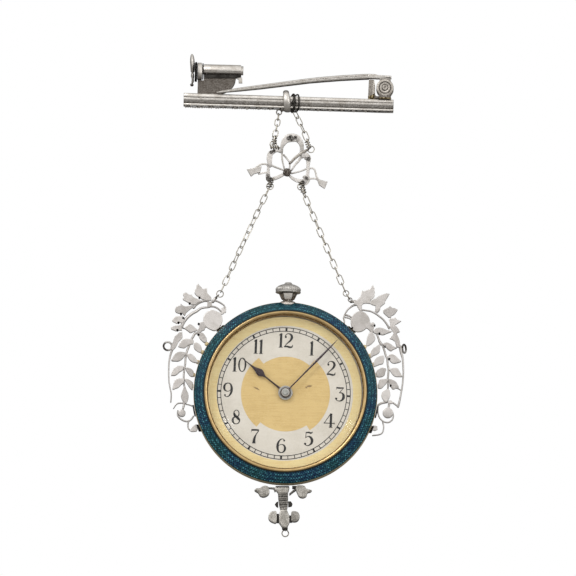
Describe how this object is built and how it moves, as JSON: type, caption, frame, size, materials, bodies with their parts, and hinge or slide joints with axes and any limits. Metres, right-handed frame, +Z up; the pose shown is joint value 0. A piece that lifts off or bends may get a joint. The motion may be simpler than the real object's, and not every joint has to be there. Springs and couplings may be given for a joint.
{
  "type": "pendant watch",
  "caption": "Round open-faced pendant watch with an enamel rim, hung by fine chains and a ribbon bow from a bar brooch, between pierced leaf sprays, with a finial below.",
  "frame": {"origin": "middle of the bar brooch's back face, where the jewel pins on", "axes": "+Z up as the jewel hangs, +X to the right of a viewer who faces the dial, +Y away from that viewer"},
  "size_m": [0.0367, 0.0067, 0.073],
  "materials": {
    "silver": "matt white metal with darker hollows",
    "dark_silver": "darkened",
    "stone": "cut and polished",
    "gold": "polished yellow metal",
    "enamel": "translucent blue-green over engine turning",
    "crystal": "clear",
    "dial": "silvered and gilt, matt",
    "hand": "dark brown"
  },
  "bodies": {
    "jewel": {"brooch_bar": "silver", "bar_stones": "stone", "hinge_block": "silver", "catch_housing": "silver", "bail": "silver", "bar_ring": "dark_silver", "chain_upper_left": "silver", "chain_upper_right": "silver", "bow": "silver", "chain_lower_left": "silver", "chain_lower_right": "silver", "wing_left": "silver", "wing_right": "silver", "side_ring_left": "silver", "side_ring_right": "silver", "case_middle": "gold", "case_back": "gold", "enamel_ring": "enamel", "bezel": "gold", "crystal": "crystal", "movement_plate": "dark_silver", "dial": "dial", "drop_finial": "silver", "drop_ring": "silver"},
    "pin": {"pin_stem": "silver"},
    "catch_slider": {"catch_slide": "silver"},
    "winding_stem": {"crown_stem": "dark_silver"},
    "winding_crown": {"crown": "silver"},
    "minute_hand_arbor": {"minute_hand": "hand"},
    "hour_hand_pipe": {"hour_hand": "hand"}
  },
  "joints": [
    {"name": "pin_hinge", "type": "hinge", "parent": "jewel", "child": "pin", "pos_m": [0.01452, 0, 0.00137], "axis": [0, 1, 0], "range_deg": [0, 75]},
    {"name": "catch_slide_out", "type": "slide", "parent": "jewel", "child": "catch_slider", "axis": [-0.9999, 0, 0.0157], "range_m": [0, 0.0035]},
    {"name": "crown_pull", "type": "slide", "parent": "jewel", "child": "winding_stem", "axis": [0.0175, 0, 0.9998], "range_m": [0, 0.0006]},
    {"name": "crown_turn", "type": "hinge", "parent": "winding_stem", "child": "winding_crown", "pos_m": [0, 0.0006, -0.0449], "axis": [0.0175, 0, 0.9998], "continuous": true},
    {"name": "minute_hand_turn", "type": "hinge", "parent": "jewel", "child": "minute_hand_arbor", "pos_m": [0, 0, -0.0449], "axis": [0, 1, 0], "continuous": true},
    {"name": "hour_hand_turn", "type": "hinge", "parent": "jewel", "child": "hour_hand_pipe", "pos_m": [0, 0, -0.0449], "axis": [0, 1, 0], "continuous": true}
  ],
  "couplings": [
    {"joint": "hour_hand_turn", "follows": "minute_hand_turn", "ratio": 0.083333}
  ]
}
